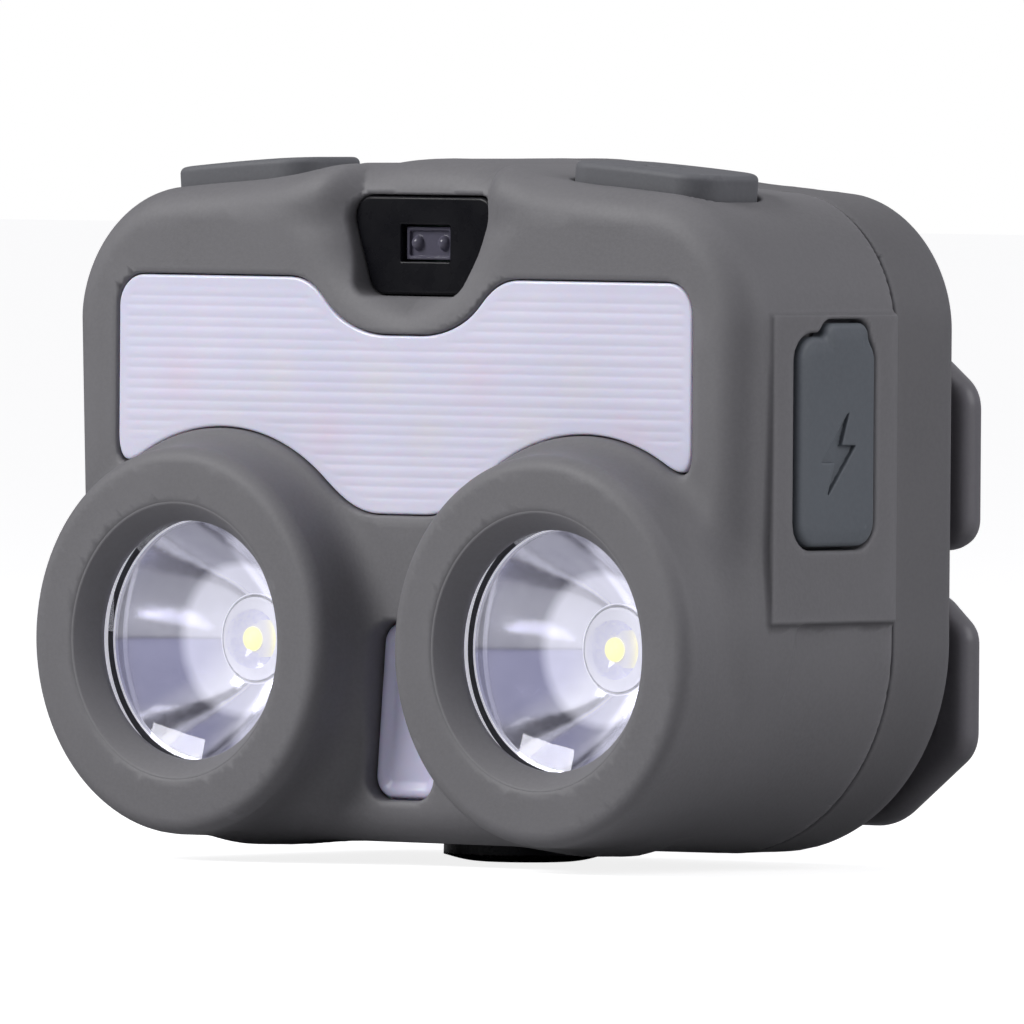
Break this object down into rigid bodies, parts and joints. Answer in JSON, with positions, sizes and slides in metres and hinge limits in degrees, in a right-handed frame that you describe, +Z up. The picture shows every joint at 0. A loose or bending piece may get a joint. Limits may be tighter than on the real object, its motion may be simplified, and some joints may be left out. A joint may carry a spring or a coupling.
{
  "type": "headlamp",
  "caption": "Headlamp with two spot lamps in barrels, a ribbed flood window, a wave sensor, top buttons, a covered port, a magnetic foot and a tilting strap bracket.",
  "frame": {"origin": "centre of the magnetic foot's lower face, on the plane of symmetry", "axes": "+X across the lamp to the wearer's left, -Y the way the lamps point, +Z up"},
  "size_m": [0.0738, 0.0393, 0.0575],
  "materials": {
    "body_gray": "soft-touch matt",
    "cover_gray": "soft-touch matt",
    "bracket_gray": "satin moulded",
    "button_rubber": "matt silicone",
    "flap_rubber": "matt silicone",
    "seal_rubber": "matt",
    "foam": "foam",
    "gloss_black": "high gloss",
    "lens_clear": "clear polished",
    "sensor_clear": "clear smoked resin",
    "reflector_chrome": "vacuum-metallised",
    "led_white": "white silicone and ceramic",
    "led_yellow": "phosphor",
    "board_white": "white solder mask",
    "board_green": "green solder mask",
    "chip_black": "moulded epoxy",
    "white_plastic": "moulded white",
    "diffuser": "frosted, ribbed",
    "diffuser_low": "frosted",
    "aluminium": "milled",
    "steel": "plated",
    "socket_steel": "drawn shell",
    "magnet_nickel": "nickel plated",
    "brass": "turned",
    "battery_foil": "laminated pouch foil",
    "wire_red": "insulated wire"
  },
  "bodies": {
    "lamp": {"front_housing": "body_gray", "rear_cover": "cover_gray", "hinge_knuckle": "cover_gray", "housing_seal": "seal_rubber", "case_screws": "steel", "magnet_foot": "gloss_black", "foot_magnet": "magnet_nickel", "spot_lens_left": "lens_clear", "spot_lens_right": "lens_clear", "lens_seal_left": "seal_rubber", "lens_seal_right": "seal_rubber", "spot_reflector_left": "reflector_chrome", "spot_reflector_right": "reflector_chrome", "spot_led_left": "led_white", "spot_led_right": "led_white", "spot_board_left": "board_white", "spot_board_right": "board_white", "heat_sink": "aluminium", "heat_sink_screws": "steel", "spot_leads": "wire_red", "flood_diffuser": "diffuser", "flood_frame": "white_plastic", "flood_board": "board_white", "flood_leds": "led_yellow", "lower_window": "diffuser_low", "status_board": "board_white", "status_leds": "led_yellow", "sensor_panel": "gloss_black", "ir_sensor": "sensor_clear", "sensor_board": "board_green", "main_board": "board_green", "board_components": "chip_black", "board_spacers": "brass", "usb_socket": "socket_steel", "tact_switch_left": "steel", "tact_switch_right": "steel", "button_board_left": "board_green", "button_board_right": "board_green", "battery_cell": "battery_foil", "battery_pad": "foam", "battery_leads": "wire_red"},
    "button_left": {"button_left": "button_rubber", "switch_plunger_left": "chip_black"},
    "button_right": {"button_right": "button_rubber", "switch_plunger_right": "chip_black"},
    "flap": {"usb_flap": "flap_rubber"},
    "bracket": {"strap_bracket": "bracket_gray", "hinge_pin": "steel"}
  },
  "joints": [
    {"name": "button_left_press", "type": "slide", "parent": "lamp", "child": "button_left", "axis": [-0.076, 0, -0.9971], "range_m": [0, 0.0006], "stiffness_N_per_m": 2500},
    {"name": "button_right_press", "type": "slide", "parent": "lamp", "child": "button_right", "axis": [0.076, 0, -0.9971], "range_m": [0, 0.0006], "stiffness_N_per_m": 2500},
    {"name": "flap_hinge", "type": "hinge", "parent": "lamp", "child": "flap", "pos_m": [0.03685, 0, 0.0269], "axis": [0, 1, 0], "range_deg": [0, 90]},
    {"name": "bracket_tilt", "type": "hinge", "parent": "lamp", "child": "bracket", "pos_m": [0, 0.0142, 0.0054], "axis": [-1, 0, 0], "range_deg": [0, 60]}
  ]
}
